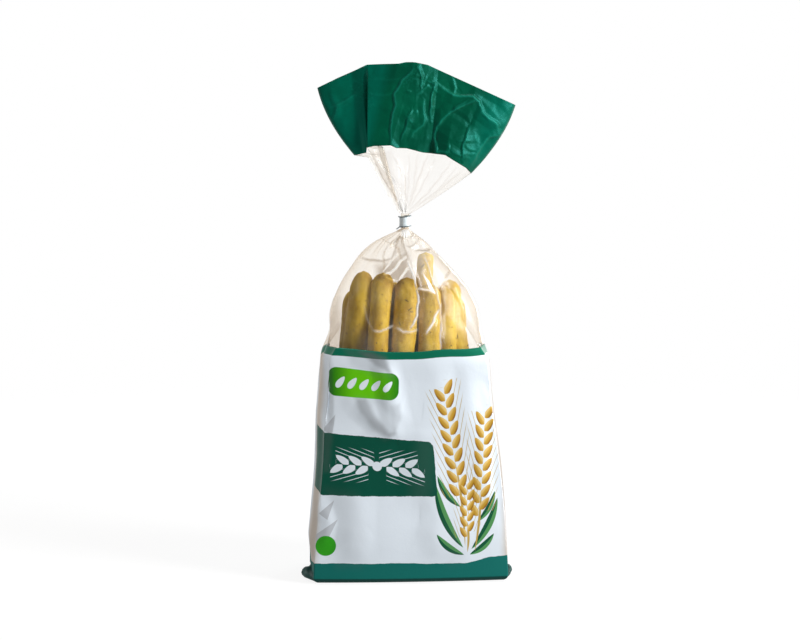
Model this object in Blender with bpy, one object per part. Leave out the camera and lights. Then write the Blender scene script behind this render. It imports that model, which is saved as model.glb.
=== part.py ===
"""A standing bag of grissini: a gusseted film bag full of breadsticks, gathered into a neck and tied.

The bag is one closed solid of its outer shape: a flat block bottom with a rounded lower edge and a folded ear
at each end, a body that tapers upward, a pleated dome, the neck, and the fan of film that opens out above the
tie. Heights are measured from the front's lower edge, which stands FOOT_LIFT above the base.
The tie is a flat band with a wire along each edge, bent round the neck.

Metres, +Z up. The origin is the centre of the base, and the front of the bag faces -Y.
"""

import math

import bmesh
import bpy
from mathutils import Vector

# --- the body, from the base to the neck --------------------------------------------------------------
HALF_WIDTH = 0.0560       # at the base, over the bulging gussets
HALF_WIDTH_HIGH = 0.0466  # at the height where the dome starts
WIDTH_POWER = 1.2         # the body stays wide low down and narrows faster higher up
HALF_DEPTH = 0.0260       # at the base, without the bow of the panels
HALF_DEPTH_HIGH = 0.0235
FOLD_LOW = 0.985          # the front and back folds stand at this share of the half width, at the base
FOLD_LEFT = 0.900         # the same at FOLD_Z and above, on the left
FOLD_RIGHT = 0.955        # and on the right
FOLD_Z = 0.100
PANEL_BOW = 0.0045        # how far the front and back panels bow out
GUSSET_TUCK = 0.0042      # the crease down the middle of each gusset, at the top of the body
DOME_Z = 0.118            # the body starts to turn in here
DOME_POWER_X = 3.1        # higher is squarer, seen from the front
DOME_WAIST = 0.025        # the film is drawn in by this share of its width just above the body
DOME_SHOULDER = 0.045     # and stands out by this share below the neck
DOME_POWER_Y = 3.6        # the same, seen from the side
ROUND_LOW_Z = 0.118       # the boxy section turns into a rounded one between these heights
ROUND_HIGH_Z = 0.150
BODY_SHIFT = 0.0005       # the body's lower half bulges this far to the right
BODY_LEAN = 0.0012        # the top of the body stands this far to the left
DOME_LEAN = 0.0028        # and the dome this far more, near its top
PLEAT_LOW_Z = 0.140       # the pleats of the dome start here
PLEAT_DEPTH = 0.0034
PLEAT_COUNT = 12

# --- the neck and the fan of film above it ------------------------------------------------------------
NECK_X = -0.0008
NECK_Z = 0.1915           # fully gathered from here
NECK_RADIUS = 0.0022
NECK_HEIGHT = 0.0082
PRINT_SHARE = 0.43        # the printed part of the film starts at this share of the way from the neck to the rim
# The printed edge and the rim of the film, as (x, z) points from left to right.
PRINT_LINE = (
    (-0.0289, 0.2322), (-0.0224, 0.2364), (-0.0095, 0.2380), (0.0085, 0.2339), (0.0208, 0.2326), (0.0359, 0.2219),
)
RIM_LINE = ((-0.0491, 0.2692), (-0.0216, 0.2818), (0.0020, 0.2832), (0.0110, 0.2818), (0.0604, 0.2596))
FAN_OPEN = 0.0080         # half the gap between the front and back layers, at its widest
FAN_EDGE_OPEN = 0.0040    # the same at the rim
FAN_WAVE = 0.0042         # depth of the fan's pleats
FAN_PLEATS = 5
FAN_BOW = 0.0040          # the fan's middle stands this far forward of its two sides

# --- the base -----------------------------------------------------------------------------------------
FOOT_LIFT = 0.0028
GUSSET_PINCH = 0.0046     # the gussets are folded in this far at the bottom, up to PINCH_Z
PINCH_Z = 0.020
# Rings of the foot: how far in and how high it is, and how far out and how high the ears are.
FOOT_RINGS = (
    (0.0060, -0.0028, 0.0030, -0.0028), (0.0030, -0.0025, 0.0056, -0.0027), (0.0013, -0.0017, 0.0074, -0.0024),
    (0.0005, -0.0008, 0.0078, -0.0012), (0.0002, -0.0002, 0.0070, 0.0008), (0.0, 0.0002, 0.0056, 0.0019),
    (0.0, 0.0008, 0.0012, -0.0006), (0.0, 0.0026, 0.0, 0.0026),
)

# --- the tie ------------------------------------------------------------------------------------------
TIE_HEIGHT = 0.0062
TIE_THICKNESS = 0.0005
TIE_GAP = 0.0003          # touching pieces keep this much apart
TIE_WIRE = 0.0005         # how far the bead over each wire stands out
TIE_TAIL = 0.0020         # the free ends of the lower wire

RING_POINTS = 72          # points round the bag; the four folds fall on points of the ring
PANEL_SHARE = 2.0 / 3.0   # share of the ring that is front and back panel
TIE_SEGMENTS = 36


def smooth(low, high, value):
    """0 below low, 1 above high, and an S curve between."""
    t = min(1.0, max(0.0, (value - low) / (high - low)))
    return t * t * (3.0 - 2.0 * t)


def lerp(a, b, t):
    return a + (b - a) * t


def bump(low, peak, high, value):
    """0 outside low..high and 1 at peak."""
    return smooth(low, peak, value) * (1.0 - smooth(peak, high, value))


# --- the bag ------------------------------------------------------------------------------------------
def half_size(z):
    """Half width and half depth of the bag at height z, from the base to the neck."""
    rise = z / DOME_Z
    dome = max(0.0, (z - DOME_Z) / (NECK_Z - DOME_Z))
    wide = lerp(HALF_WIDTH, HALF_WIDTH_HIGH, rise ** WIDTH_POWER) - NECK_RADIUS
    deep = lerp(HALF_DEPTH, HALF_DEPTH_HIGH, rise) - NECK_RADIUS
    share = (1.0 - dome ** DOME_POWER_X) * (1.0 - DOME_WAIST * bump(0.04, 0.20, 0.42, dome))
    share += DOME_SHOULDER * bump(0.70, 0.90, 1.0, dome)
    return NECK_RADIUS + wide * share, NECK_RADIUS + deep * (1.0 - dome ** DOME_POWER_Y)


def across_of(turn):
    """+1 at the right gusset's middle, through 0 at the middle of the back or front, to -1 at the left."""
    return abs(turn - 0.5) * 4.0 - 1.0


def box_point(turn, z):
    """A point of the boxy outline. turn is 0 at the right gusset and runs through the back to 1."""
    half_width, half_depth = half_size(z)
    across = across_of(turn)
    fold_x = half_width * lerp(FOLD_LOW, FOLD_LEFT if across < 0 else FOLD_RIGHT, smooth(0.0, FOLD_Z, z))
    side_y = 1.0 if turn < 0.5 else -1.0
    if abs(across) <= PANEL_SHARE:
        along = across / PANEL_SHARE
        bow = PANEL_BOW * (1.0 - along * along) * lerp(0.6, 1.0, smooth(0.0, 0.03, z))
        return Vector((along * fold_x, side_y * (half_depth + bow), z))
    along = (abs(across) - PANEL_SHARE) / (1.0 - PANEL_SHARE)
    tuck = GUSSET_TUCK * smooth(0.5, 1.0, along) * smooth(0.02, DOME_Z, z)
    x = lerp(fold_x, half_width, smooth(0.0, 0.5, along)) - tuck
    return Vector((math.copysign(x, across), side_y * half_depth * (1.0 - along), z))


def oval_point(turn, z):
    """The same point moved out on to an oval of the section's own width and depth."""
    half_width, half_depth = half_size(z)
    point = box_point(turn, z)
    angle = math.atan2(point.y / half_depth, point.x / half_width)
    return Vector((half_width * math.cos(angle), half_depth * math.sin(angle), z))


def pleat(turn, count):
    """Uneven pleats round the ring, from -1 to 1."""
    phase = turn * count + 0.18 * math.sin(2.0 * math.pi * 3.0 * turn)
    return math.sin(2.0 * math.pi * phase)


def body_point(turn, z):
    rounding = smooth(ROUND_LOW_Z, ROUND_HIGH_Z, z)
    point = box_point(turn, z).lerp(oval_point(turn, z), rounding)
    outward = Vector((point.x, point.y, 0.0))
    depth = min(PLEAT_DEPTH, outward.length * 0.22)
    fade = smooth(PLEAT_LOW_Z, 0.5 * (PLEAT_LOW_Z + NECK_Z), z)
    point += outward.normalized() * depth * fade * pleat(turn, PLEAT_COUNT)
    up = min(1.0, max(0.0, (z - DOME_Z) / (NECK_Z - DOME_Z)))
    point.x += NECK_X * up - DOME_LEAN * math.sin(math.pi * up ** 4)
    point.x += BODY_SHIFT * bump(0.005, 0.045, 0.100, z) - BODY_LEAN * smooth(0.050, 0.110, z) * (1.0 - up)
    return point


def neck_point(turn, z):
    angle = turn * 2.0 * math.pi
    radius = NECK_RADIUS * (1.0 + 0.06 * math.cos(angle * PLEAT_COUNT / 2))
    return Vector((NECK_X + radius * math.cos(angle), radius * math.sin(angle), z))


def side_place(turn):
    """Where a point lies on its gusset, from 0 at the front fold to 1 at the back fold, and how near its middle."""
    near = min(1.0, max(0.0, (abs(across_of(turn)) - PANEL_SHARE) / (1.0 - PANEL_SHARE)))
    return (1.0 - 0.5 * near if turn < 0.5 else 0.5 * near), near


def pinched(point, turn, z):
    """Folds the gussets in, near the base."""
    _, near = side_place(turn)
    amount = GUSSET_PINCH * smooth(0.0, 1.0, near) * (1.0 - smooth(0.003, PINCH_Z, z))
    point.x -= math.copysign(amount, point.x)
    return point


def foot_point(turn, inset, height, ear_reach, ear_height):
    """A point of the turned lower edge, with the ears drawn out of it to a point at each end."""
    point = pinched(body_point(turn, 0.003), turn, 0.003)
    place, _ = side_place(turn)
    ear = max(0.0, min(1.0, place / 0.40, (0.78 - place) / 0.38)) ** 1.2
    outward = Vector((point.x / HALF_WIDTH, point.y / HALF_DEPTH, 0.0)).normalized()
    point -= outward * inset * (1.0 - ear)
    point.x += math.copysign(ear_reach * ear, point.x)
    point.z = lerp(height, ear_height, ear)
    return point


def on_line(line, share):
    """The point of a line whose x is a given share of the way from its left end to its right end."""
    x = lerp(line[0][0], line[-1][0], share)
    for (ax, az), (bx, bz) in zip(line, line[1:]):
        if x <= bx:
            return x, lerp(az, bz, (x - ax) / (bx - ax))
    return line[-1]


def fan_point(turn, share):
    """A point of the film above the neck. share is 0 at the neck and 1 at the rim."""
    across = math.cos(turn * 2.0 * math.pi)
    foot = neck_point(turn, NECK_Z + NECK_HEIGHT)
    edge_x, edge_z = on_line(PRINT_LINE, 0.5 + 0.5 * across)
    rim_x, rim_z = on_line(RIM_LINE, 0.5 + 0.5 * across)
    clear, printed = min(1.0, share / PRINT_SHARE), max(0.0, (share - PRINT_SHARE) / (1.0 - PRINT_SHARE))
    x = lerp(lerp(foot.x, edge_x, clear), rim_x, printed)
    z = lerp(lerp(foot.z, edge_z, clear), rim_z, printed)
    opening = lerp(NECK_RADIUS, FAN_OPEN, smooth(0.0, 0.4, share))
    opening = lerp(opening, FAN_EDGE_OPEN, smooth(0.5, 1.0, share)) * math.sin(turn * 2.0 * math.pi)
    wave = math.sin(math.pi * (FAN_PLEATS * across + 0.35 * math.sin(4.0 * across)))
    wave *= FAN_WAVE * smooth(0.05, 0.8, share)
    bow = FAN_BOW * share * (1.0 - across * across)
    return Vector((x, opening + wave - bow, z))


def bag_rings():
    """Every ring of the bag, from the base up."""
    turns = [i / RING_POINTS for i in range(RING_POINTS)]
    body = [0.006, 0.010, 0.015, 0.023, 0.036, 0.054, 0.072, 0.090, 0.106, DOME_Z, 0.128, 0.137, 0.145]
    dome = [0.152, 0.158, 0.164, 0.169, 0.174, 0.178, 0.182, 0.185, 0.1875, 0.1895]
    rings = [[foot_point(t, *level) for t in turns] for level in FOOT_RINGS]
    rings += [[body_point(t, z) for t in turns] for z in body + dome]
    rings += [[neck_point(t, NECK_Z + NECK_HEIGHT * k / 3) for t in turns] for k in range(4)]
    low = [PRINT_SHARE * (k / 7) ** 1.15 for k in range(1, 8)]
    high = [lerp(PRINT_SHARE, 1.0, k / 6) for k in range(1, 7)]
    rings += [[fan_point(t, share) for t in turns] for share in low + high]
    return rings


def cap(bm, ring):
    """Closes a ring with strips that run from its front to its back."""
    count = len(ring)
    for i in range(count // 2):
        corners = [ring[i], ring[i + 1], ring[count - i - 1], ring[(count - i) % count]]
        bm.faces.new([v for k, v in enumerate(corners) if v not in corners[:k]])


def loft(bm, rings, closed):
    """Faces between neighbouring rings, and from the last to the first if closed."""
    following = rings[1:] + rings[:1] if closed else rings[1:]
    for lower, upper in zip(rings, following):
        for i in range(len(lower)):
            j = (i + 1) % len(lower)
            bm.faces.new((lower[i], lower[j], upper[j], upper[i]))


def finish_mesh(bm, name):
    bmesh.ops.recalc_face_normals(bm, faces=bm.faces)
    mesh = bpy.data.meshes.new(name)
    bm.to_mesh(mesh)
    bm.free()
    return mesh


def bag_mesh():
    bm = bmesh.new()
    rings = [[bm.verts.new(p) for p in ring] for ring in bag_rings()]
    loft(bm, rings, closed=False)
    cap(bm, rings[0])
    cap(bm, rings[-1])
    return finish_mesh(bm, "bag")


# --- the tie ------------------------------------------------------------------------------------------
def tie_profile():
    """The band's section as (distance from the neck's axis, height), with a bead over the wire at each edge."""
    inner = NECK_RADIUS * 1.06 + TIE_GAP
    outer = inner + TIE_THICKNESS
    half = TIE_HEIGHT / 2
    return [
        (inner, -half),
        (outer + TIE_WIRE * 0.8, -half),
        (outer + TIE_WIRE, -half + TIE_WIRE),
        (outer, -half + TIE_WIRE * 2.2),
        (outer, half - TIE_WIRE * 2.2),
        (outer + TIE_WIRE, half - TIE_WIRE),
        (outer + TIE_WIRE * 0.8, half),
        (inner, half),
    ]


def tie_mesh():
    """The section turned once round the neck. The lower wire's free ends stand out and down, left and right."""
    bm = bmesh.new()
    profile = tie_profile()
    rings = []
    for k in range(TIE_SEGMENTS):
        angle = 2.0 * math.pi * k / TIE_SEGMENTS
        tail = TIE_TAIL * smooth(0.80, 1.0, abs(math.cos(angle)))
        ring = []
        for row, (radius, height) in enumerate(profile):
            reach = tail if row in (1, 2) else 0.0
            ring.append(bm.verts.new((
                (radius + reach) * math.cos(angle),
                (radius + reach) * math.sin(angle),
                height - 0.5 * reach,
            )))
        rings.append(ring)
    loft(bm, rings, closed=True)
    return finish_mesh(bm, "tie")


# --- objects ------------------------------------------------------------------------------------------
def material(name, colour, roughness):
    made = bpy.data.materials.new(name)
    made.use_nodes = True
    shader = made.node_tree.nodes["Principled BSDF"]
    shader.inputs["Base Color"].default_value = (*colour, 1.0)
    shader.inputs["Roughness"].default_value = roughness
    return made


def add_object(name, mesh, finish):
    obj = bpy.data.objects.new(name, mesh)
    bpy.context.scene.collection.objects.link(obj)
    mesh.materials.append(finish)
    mesh.shade_smooth()
    mesh.set_sharp_from_angle(angle=math.radians(40))
    return obj


def main():
    for obj in list(bpy.data.objects):
        bpy.data.objects.remove(obj)
    bag = add_object("bag", bag_mesh(), material("film", (0.86, 0.88, 0.86), 0.25))
    bag.location = (0.0, 0.0, FOOT_LIFT)
    tie = add_object("tie", tie_mesh(), material("tie_plastic", (0.72, 0.80, 0.84), 0.4))
    tie.location = (NECK_X, 0.0, FOOT_LIFT + NECK_Z + NECK_HEIGHT / 2)


main()
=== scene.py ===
"""A standing film bag of grissini, tied at the neck: clear and printed film, the tie and the sticks.

Metres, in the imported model's frame: +Z up, the front faces -Y, the origin is the centre of the base.
Sizes that read better in millimetres are multiplied by MM.
"""

import math
from functools import partialmethod

import bpy
import numpy as np
from mathutils import Matrix, Vector, noise


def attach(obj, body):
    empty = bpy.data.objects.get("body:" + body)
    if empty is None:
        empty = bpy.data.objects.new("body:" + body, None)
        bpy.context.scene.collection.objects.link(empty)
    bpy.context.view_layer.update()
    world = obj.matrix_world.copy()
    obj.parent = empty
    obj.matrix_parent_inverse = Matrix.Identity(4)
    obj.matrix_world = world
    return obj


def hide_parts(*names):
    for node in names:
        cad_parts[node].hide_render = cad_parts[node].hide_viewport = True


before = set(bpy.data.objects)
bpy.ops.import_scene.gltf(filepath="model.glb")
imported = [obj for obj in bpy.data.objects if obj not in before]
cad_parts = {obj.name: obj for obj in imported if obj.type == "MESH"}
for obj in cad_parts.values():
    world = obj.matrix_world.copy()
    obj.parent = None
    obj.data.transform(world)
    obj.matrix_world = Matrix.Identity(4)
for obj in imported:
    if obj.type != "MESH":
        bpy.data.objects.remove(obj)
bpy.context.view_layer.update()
MM = 0.001

# --- the bag's outer shape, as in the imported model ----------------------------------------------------
HALF_WIDTH, HALF_WIDTH_HIGH, WIDTH_POWER = 0.0560, 0.0466, 1.2
HALF_DEPTH, HALF_DEPTH_HIGH = 0.0260, 0.0235
FOLD_LEFT_LOW, FOLD_RIGHT_LOW, FOLD_LEFT, FOLD_RIGHT, FOLD_Z = 0.950, 0.980, 0.925, 0.955, 0.100
PANEL_BOW = 0.0045
GUSSET_TUCK = 0.0042
DOME_Z = 0.118
DOME_POWER_X, DOME_POWER_Y = 3.1, 3.6
DOME_WAIST, DOME_SHOULDER = 0.025, 0.045
ROUND_LOW_Z, ROUND_HIGH_Z = 0.118, 0.150
BODY_SHIFT, BODY_LEAN, DOME_LEAN = 0.0005, 0.0012, 0.0028
NECK_X, NECK_Z, NECK_RADIUS, NECK_HEIGHT = -0.0008, 0.1915, 0.0022, 0.0082
PANEL_SHARE = 2.0 / 3.0
# Turns run round the bag, through its left side: 0.25 and 1.25 are the back's middle, FRONT the front's.
FRONT = 0.75

# --- film ---------------------------------------------------------------------------------------------
FILM_THICKNESS = 0.00012
LABEL_TOP = 0.1266        # at the middle of the front
LABEL_CORNER = 0.0012     # the label's top edge stands this much higher at the front's folds
LABEL_DROP = 0.0115       # and it is this much lower at the back
COLUMNS = (50, 38, 194, 38, 50)      # round the film: back, left, front, right, back
CREASE_WIDTH = 0.55       # mm, the width of the painted highlight or painted shade line along a sharp crease


def smooth(low, high, value):
    t = np.clip((value - low) / (high - low), 0.0, 1.0)
    return t * t * (3.0 - 2.0 * t)


def lerp(a, b, t):
    return a + (b - a) * t


def bump(low, peak, high, value):
    """0 outside low..high and 1 at peak."""
    return smooth(low, peak, value) * (1.0 - smooth(peak, high, value))


# --- creases and pleats -------------------------------------------------------------------------------
def pleats(turn, along, count, drift, seed):
    """Flat pleats with sharp creases round the film. turn is one row's columns, along each row's 0..1."""
    rng = np.random.default_rng(seed)
    low = (np.arange(count) + rng.uniform(-0.32, 0.32, count)) / count
    high = low + drift * rng.uniform(-1.0, 1.0, count) / count
    height = np.where(np.arange(count) % 2, 1.0, -1.0) * rng.uniform(0.45, 1.0, count)
    rows = []
    for t in along:
        rows.append(np.interp(turn % 1.0, np.sort(lerp(low, high, t)) % 1.0, height, period=1.0))
    return np.array(rows)


def facets(u, v, cell, seed, jitter=0.36):
    """Crumpled film: a sheet of flat triangles that meet at sharp creases, from -1 to 1."""
    rng = np.random.default_rng(seed)
    size = 64
    shift = rng.uniform(-jitter, jitter, (size, size, 2))
    height = rng.uniform(-1.0, 1.0, (size, size))
    flip = rng.random((size, size)) < 0.5
    x, y = u / cell, v / cell
    column, row = np.floor(x).astype(int), np.floor(y).astype(int)
    found = np.zeros(x.shape)

    def corner(i, j):
        a, b = i % size, j % size
        return i + shift[a, b, 0], j + shift[a, b, 1], height[a, b]

    for di in (-1, 0, 1):
        for dj in (-1, 0, 1):
            i, j = column + di, row + dj
            p00, p10, p01, p11 = corner(i, j), corner(i + 1, j), corner(i, j + 1), corner(i + 1, j + 1)
            turned = flip[i % size, j % size]
            for first, second, third, which in (
                (p00, p10, p11, False), (p00, p11, p01, False), (p00, p10, p01, True), (p10, p11, p01, True),
            ):
                ends = second, third, (x, y)
                px, py, qx, qy, rx, ry = [end[k] - first[k] for end in ends for k in (0, 1)]
                area = px * qy - qx * py
                b, c = (rx * qy - qx * ry) / area, (px * ry - rx * py) / area
                inside = (turned == which) & (b >= 0) & (c >= 0) & (b + c <= 1)
                found = np.where(inside, first[2] * (1 - b - c) + second[2] * b + third[2] * c, found)
    return found


def distance_to(line, x, z):
    """Distance from each point to a line of points, which side of it the point lies on, and how far along."""
    nearest = np.full(x.shape, np.inf)
    side = np.ones(x.shape)
    along = np.zeros(x.shape)
    lengths = [math.dist(a, b) for a, b in zip(line, line[1:])]
    for k, ((ax, az), (bx, bz)) in enumerate(zip(line, line[1:])):
        dx, dz = bx - ax, bz - az
        t = np.clip(((x - ax) * dx + (z - az) * dz) / (dx * dx + dz * dz), 0.0, 1.0)
        far = np.hypot(x - ax - t * dx, z - az - t * dz)
        closer = far < nearest
        side = np.where(closer, np.sign(dx * (z - az) - dz * (x - ax)), side)
        along = np.where(closer, (sum(lengths[:k]) + t * lengths[k]) / sum(lengths), along)
        nearest = np.where(closer, far, nearest)
    return nearest, side, along


def on_side(grid, front):
    """1 on the front or the back of the bag, and 0 at its sides and beyond."""
    near_neck = smooth(0.186, 0.192, grid[..., 2])
    return smooth(0.001, lerp(0.008, 0.0015, near_neck), -grid[..., 1] if front else grid[..., 1])


def wandering(grid):
    """The grid's x and z in mm, shifted a little to and fro so that straight lines come out wandering."""
    x, z = grid[..., 0] / MM, grid[..., 2] / MM
    return (x + 0.20 * np.sin(0.63 * z + 0.31 * x) + 0.06 * np.sin(1.9 * z - 0.7 * x + 1.0),
            z + 0.20 * np.sin(0.57 * x - 0.27 * z) + 0.06 * np.sin(2.1 * x + 0.6 * z + 2.0))


def creased(grid, creases, front=True, soft=False):
    """The height of creases at each point of a grid, in metres: flat falls, or rounded ones if soft."""
    x, z = (grid[..., 0] / MM, grid[..., 2] / MM) if soft else wandering(grid)
    total = np.zeros(x.shape)
    for height, left, right, _, line in creases:
        far, side, along = distance_to(line, x, z)
        blur = 0.5 * min(left, right)
        is_left = smooth(-blur, blur, side * far) if soft else side > 0
        fall = np.clip(1.0 - far / lerp(right, left, is_left), 0.0, 1.0)
        fall = smooth(0.0, 1.0, fall) if soft else fall
        total += height * fall * (1.0 - 0.6 * np.abs(2.0 * along - 1.0) ** 3)
    return total * MM * on_side(grid, front)


def crease_highlight_and_shade(grid, creases, front=True):
    """The painted highlight (to 1) or painted shade (to -1) along the film's creases."""
    x, z = wandering(grid)
    total = np.zeros(x.shape)
    for _, _, _, white, line in creases:
        if white:
            far, _, along = distance_to(line, x, z)
            taper = 1.0 - 0.85 * np.abs(2.0 * along - 1.0) ** 4
            here = white * taper * np.exp(-(far / CREASE_WIDTH) ** 2)
            total = np.where(np.abs(here) > np.abs(total), here, total)
    return total * on_side(grid, front)


def patched(grid, patches, front=True):
    """The painted highlight or milky haze (positive) or painted shade (negative) inside the film's patches.
    """
    x, z = wandering(grid)
    total = np.zeros(x.shape)
    for value, softness, outline in patches:
        edge = outline + outline[:1]
        far, _, _ = distance_to(edge, x, z)
        within = np.zeros(x.shape, bool)
        for (ax, az), (bx, bz) in zip(edge, edge[1:]):
            if az != bz:
                crosses = (np.minimum(az, bz) <= z) & (z < np.maximum(az, bz))
                within ^= crosses & (x < ax + (z - az) * (bx - ax) / (bz - az))
        total += value * smooth(-softness, softness, np.where(within, far, -far))
    return total * on_side(grid, front)


def loose_creases(seed, count, middle, spread, length, height, white):
    """Small creases in all directions round a middle, in mm, as rows like those listed."""
    rng = np.random.default_rng(seed)
    rows = []
    for _ in range(count):
        x, z = rng.normal(middle, spread)
        angle = rng.uniform(0.0, 2.0 * math.pi)
        line = [(x, z)]
        for _ in range(rng.integers(1, 4)):
            step = length * rng.uniform(0.5, 1.3)
            angle += rng.uniform(-0.8, 0.8)
            line.append((line[-1][0] + step * math.cos(angle), line[-1][1] + step * math.sin(angle)))
        sharp, soft = rng.uniform(0.8, 1.5), rng.uniform(2.0, 4.5)
        sides = (sharp, soft) if rng.random() < 0.5 else (soft, sharp)
        rows.append((height * rng.uniform(0.4, 1.0), *sides, white * rng.uniform(0.0, 1.0), tuple(line)))
    return tuple(rows)


# --- where the film runs ------------------------------------------------------------------------------
def half_size(z):
    rise = z / DOME_Z
    dome = np.clip((z - DOME_Z) / (NECK_Z - DOME_Z), 0.0, 1.0)
    wide = lerp(HALF_WIDTH, HALF_WIDTH_HIGH, rise ** WIDTH_POWER) - NECK_RADIUS
    deep = lerp(HALF_DEPTH, HALF_DEPTH_HIGH, rise) - NECK_RADIUS
    share = (1.0 - dome ** DOME_POWER_X) * (1.0 - DOME_WAIST * bump(0.04, 0.20, 0.42, dome))
    share = share + DOME_SHOULDER * bump(0.70, 0.90, 1.0, dome)
    return NECK_RADIUS + wide * share, NECK_RADIUS + deep * (1.0 - dome ** DOME_POWER_Y)


def across_of(turn):
    return np.abs(turn % 1.0 - 0.5) * 4.0 - 1.0


def body_points(turn, z):
    """Points of the body's smooth outline."""
    half_width, half_depth = half_size(z)
    across = across_of(turn)
    back = np.where(turn % 1.0 < 0.5, 1.0, -1.0)
    left = across < 0
    low, high = np.where(left, FOLD_LEFT_LOW, FOLD_RIGHT_LOW), np.where(left, FOLD_LEFT, FOLD_RIGHT)
    fold_x = half_width * lerp(low, high, smooth(0.0, FOLD_Z, z))
    flat = np.clip(across / PANEL_SHARE, -1.0, 1.0)
    side = np.clip((np.abs(across) - PANEL_SHARE) / (1.0 - PANEL_SHARE), 0.0, 1.0)
    bow = PANEL_BOW * (1.0 - flat * flat) * lerp(0.6, 1.0, smooth(0.0, 0.03, z))
    tuck = GUSSET_TUCK * smooth(0.5, 1.0, side) * smooth(0.02, DOME_Z, z)
    reach = lerp(fold_x, half_width, smooth(0.0, 0.5, side)) - tuck
    x = np.where(side > 0, np.sign(across) * reach, flat * fold_x)
    y = back * (half_depth * (1.0 - side) + bow)
    angle = np.arctan2(y / half_depth, x / half_width)
    rounding = smooth(ROUND_LOW_Z, ROUND_HIGH_Z, z)
    x = lerp(x, half_width * np.cos(angle), rounding)
    y = lerp(y, half_depth * np.sin(angle), rounding)
    up = np.clip((z - DOME_Z) / (NECK_Z - DOME_Z), 0.0, 1.0)
    x = x + NECK_X * up - DOME_LEAN * np.sin(math.pi * up ** 4)
    x = x + BODY_SHIFT * bump(0.005, 0.045, 0.100, z) - BODY_LEAN * smooth(0.050, 0.110, z) * (1.0 - up)
    return np.stack([x, y, z + 0.0 * x], axis=-1)


def normals_of(grid):
    """Outward normals of a grid of rows that run round the bag."""
    around = np.roll(grid, -1, axis=1) - np.roll(grid, 1, axis=1)
    up = np.gradient(grid, axis=0)
    normal = np.cross(around, up)
    return normal / np.maximum(np.linalg.norm(normal, axis=-1, keepdims=True), 1e-12)


def closed(grid):
    """A grid with its first column again at the end."""
    return np.concatenate([grid, grid[:, :1]], axis=1)


def columns():
    """Turns of the film's columns, from the middle of the back, closer together on the front."""
    edges = (0.25, 5 / 12, 7 / 12, 11 / 12, 13 / 12, 1.25)
    parts = [np.linspace(a, b, count, endpoint=False) for a, b, count in zip(edges, edges[1:], COLUMNS)]
    return np.concatenate(parts)


TURN = columns()
# Each crease: height, width of its fall to the left of its line and to the right, painted highlight along it,
# and the line's points (x, z), in mm. A negative height is a groove, and a negative painted highlight is
# painted shade.
FRONT_FOLDS = (
    (1.6, 9, 9, 0, ((-30, 98), (-19, 88.5), (-10.5, 81.5))),
    (1.8, 11, 8, 0, ((-17, 130), (-12.5, 104), (-8, 83))),
    (-1.2, 4, 4, 0, ((-46, 118), (-45.5, 104), (-45, 88))),
    (1.3, 18, 14, 0, ((6, 84), (4, 64), (5, 46))),
    (1.5, 15, 16, 0, ((-31, 52), (-33, 30), (-31, 5))),
    (1.4, 20, 14, 0, ((20, 48), (16, 26), (18, 4))),
    (1.2, 6, 7, 0, ((-48, 42), (-45, 32), (-48, 18))),
    (0.5, 12, 9, 0, ((31, 118), (33, 90), (37, 60))),
    (0.6, 7, 9, 0, ((42, 74), (40, 58), (43, 40))),
    (0.6, 12, 12, 0, ((12, 124), (15, 104), (14, 84))),
)
# Patches of film with painted highlight or milky haze (positive) or painted shade (negative): how much, how
# soft their edges are, in mm, and the outline (x, z).
LABEL_PATCHES = (
    (-0.42, 1.5, ((-28, 127), (-22, 126), (-13.5, 123), (-9.5, 113.5), (-13.5, 116), (-19.3, 119.5))),
    (-0.2, 2.5, ((-36, 128), (-14, 125), (-9.5, 112), (-20, 113), (-32, 119))),
    (-0.36, 1.8, ((-30.2, 101), (-24.4, 101), (-19, 91), (-12.2, 82.4), (-8.2, 81.2), (-11.8, 79),
                  (-20, 83.6), (-27, 93))),
    (-0.24, 1.5, ((-11, 97), (-5.8, 98), (-4.8, 91), (-7, 84.5), (-9.2, 81.2), (-10.2, 89))),
    (-0.16, 2.5, ((-30, 102), (-10, 101), (-8, 80), (-14, 78), (-28, 90))),
    (-0.2, 1.8, ((-47.5, 124), (-42.5, 123), (-42.5, 80), (-44.5, 60), (-47.5, 60))),
    (-0.14, 5, ((-46, 50), (-30, 48), (-24, 30), (-28, 8), (-40, 8), (-38, 30))),
    (-0.12, 5, ((4, 80), (14, 78), (12, 48), (6, 36), (0, 48))),
    (-0.12, 5, ((20, 46), (28, 44), (30, 10), (22, 8))),
)
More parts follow.
